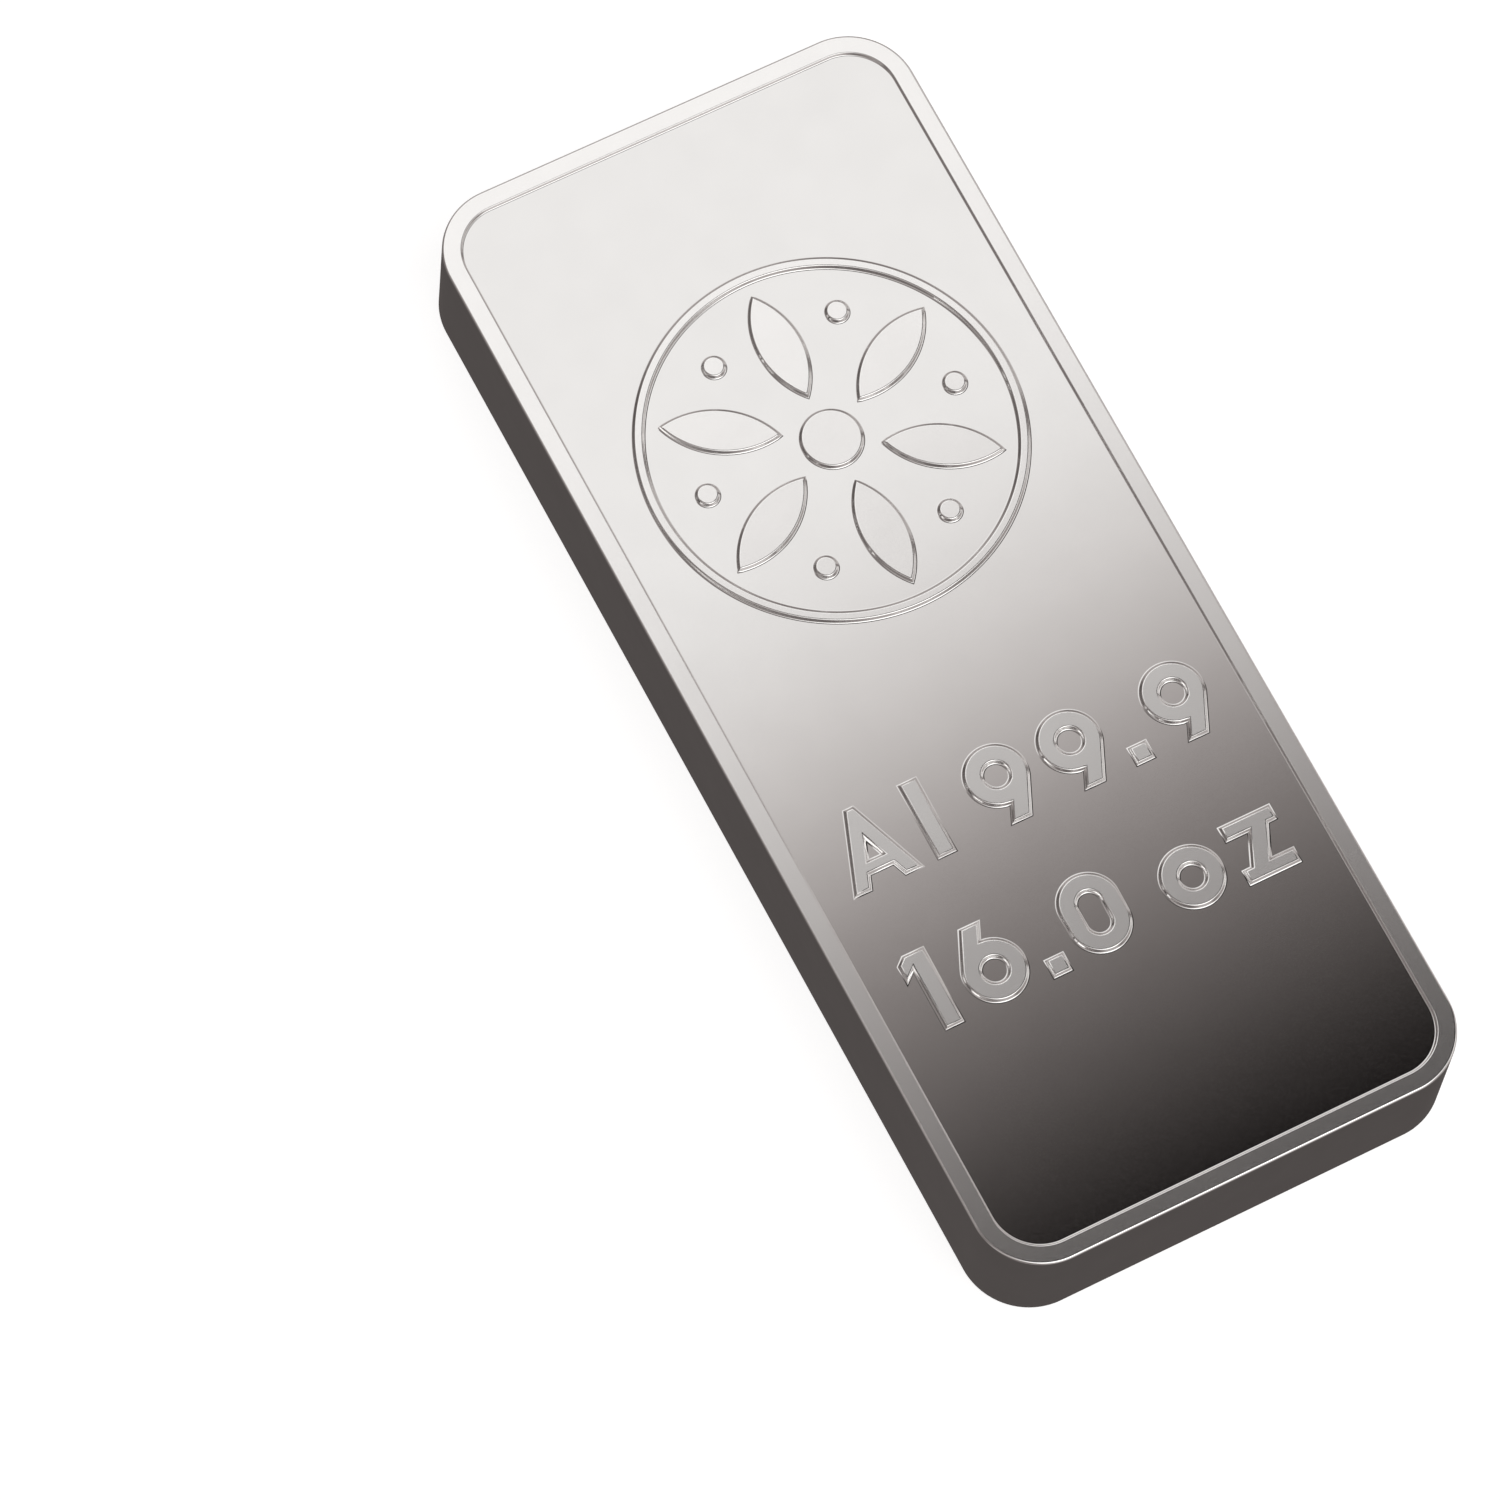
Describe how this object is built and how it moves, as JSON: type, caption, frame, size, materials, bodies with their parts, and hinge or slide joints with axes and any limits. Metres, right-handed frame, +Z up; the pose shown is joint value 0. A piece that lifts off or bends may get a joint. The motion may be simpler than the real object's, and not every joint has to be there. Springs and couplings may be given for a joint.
{
  "type": "aluminium ingot",
  "caption": "Flat rectangular aluminium ingot with rounded corners and a shallow panel inside a raised rim on each face; lies flat on its rim.",
  "frame": {"origin": "middle of the underside, on the plane of the lower rim", "axes": "+Z up as the bar lies flat, +Y along its length, +X across its width"},
  "size_m": [0.066, 0.158, 0.0168],
  "materials": {
    "aluminium": "satin, with a finely frosted rim and a smoother panel"
  },
  "bodies": {
    "root": {"ingot": "aluminium"}
  },
  "joints": []
}
